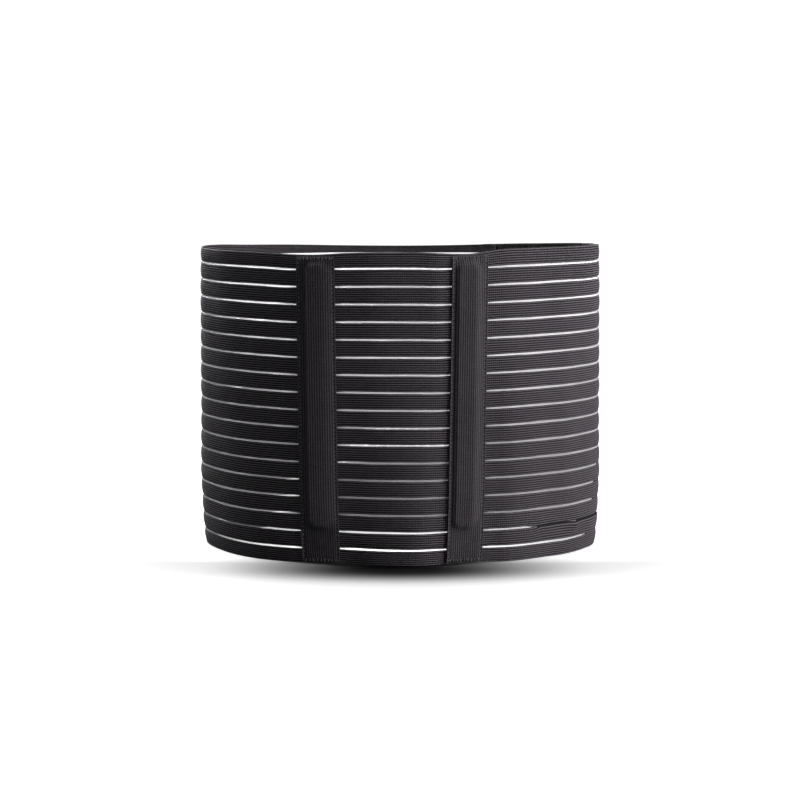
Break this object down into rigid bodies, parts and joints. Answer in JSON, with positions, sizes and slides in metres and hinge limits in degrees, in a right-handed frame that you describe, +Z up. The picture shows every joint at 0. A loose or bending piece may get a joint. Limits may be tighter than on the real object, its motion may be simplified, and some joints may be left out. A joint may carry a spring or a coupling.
{
  "type": "abdominal binder",
  "caption": "Wide elastic waist binder of ribbed bands parted by open slits, standing as an oval loop, with stays in sewn tape casings and a hook-and-loop closure panel.",
  "frame": {"origin": "middle of the footprint, on the surface that the lower edge stands on", "axes": "+Z up, +X to the right seen from the side with the two stays, which faces -Y"},
  "size_m": [0.3064, 0.1988, 0.2316],
  "materials": {
    "webbing": "black ribbed elastic webbing, matte with a slight sheen on the rib crowns",
    "tape": "black upright-ribbed tape, matte",
    "stay": "plain off-white plastic strip",
    "fastening": "black brushed loop pile, matte"
  },
  "bodies": {
    "root": {"elastic_wall": "webbing", "stay_casing_left": "tape", "stay_casing_right": "tape", "stay_left": "stay", "stay_right": "stay", "closure_panel": "fastening"}
  },
  "joints": []
}
